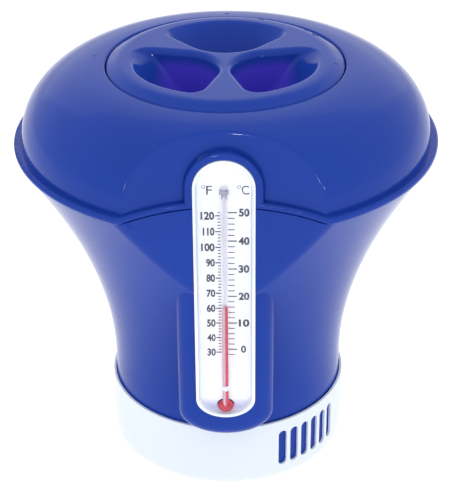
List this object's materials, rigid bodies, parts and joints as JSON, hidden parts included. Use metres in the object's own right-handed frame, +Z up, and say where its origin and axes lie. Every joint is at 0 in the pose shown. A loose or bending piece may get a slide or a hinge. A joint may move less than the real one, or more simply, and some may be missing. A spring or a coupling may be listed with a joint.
{
  "type": "floating chlorine dispenser",
  "caption": "Floating pool chlorine dispenser: domed float with a niche and thermometer, twist-off lid with finger pockets, and a turning slotted dosing cup.",
  "frame": {"origin": "centre of the flat underside of the dosing cup, on the surface that it stands on", "axes": "+Z up along the float's axis, +X to the right and -Y to the front, where the thermometer is"},
  "size_m": [0.185, 0.1743, 0.1888],
  "materials": {
    "shell_plastic": "gloss, injection-moulded polypropylene",
    "cup_plastic": "satin gloss, injection-moulded polypropylene",
    "tube_plastic": "extruded natural polypropylene",
    "seal_rubber": "moulded EPDM cord",
    "tray_plastic": "moulded polystyrene",
    "card_sheet": "printed sheet",
    "tube_glass": "drawn glass",
    "spirit": "dyed spirit",
    "strap_plastic": "moulded clip",
    "lens_plastic": "clear moulded polystyrene"
  },
  "bodies": {
    "float": {"upper_shell": "shell_plastic", "lower_shell": "shell_plastic", "tablet_tube": "tube_plastic", "tube_top_seal": "seal_rubber", "tube_bottom_seal": "seal_rubber", "tablet_grate": "cup_plastic", "thermometer_tray": "tray_plastic", "scale_card": "card_sheet", "glass_tube": "tube_glass", "red_spirit": "spirit", "upper_tube_strap": "strap_plastic", "lower_tube_strap": "strap_plastic", "thermometer_lens": "lens_plastic"},
    "lid_seal": {"lid_seal": "seal_rubber"},
    "lid": {"lid": "shell_plastic"},
    "dosing_cup": {"dosing_cup": "cup_plastic"}
  },
  "joints": [
    {"name": "lid_lift", "type": "slide", "parent": "float", "child": "lid_seal", "axis": [0, 0, 1], "range_m": [0, 0.12]},
    {"name": "lid_turn", "type": "hinge", "parent": "lid_seal", "child": "lid", "pos_m": [0, 0, 0.1776], "axis": [0, 0, 1], "range_deg": [-35, 0]},
    {"name": "cup_turn", "type": "hinge", "parent": "float", "child": "dosing_cup", "pos_m": [0, 0, 0], "axis": [0, 0, 1], "range_deg": [0, 60]}
  ]
}
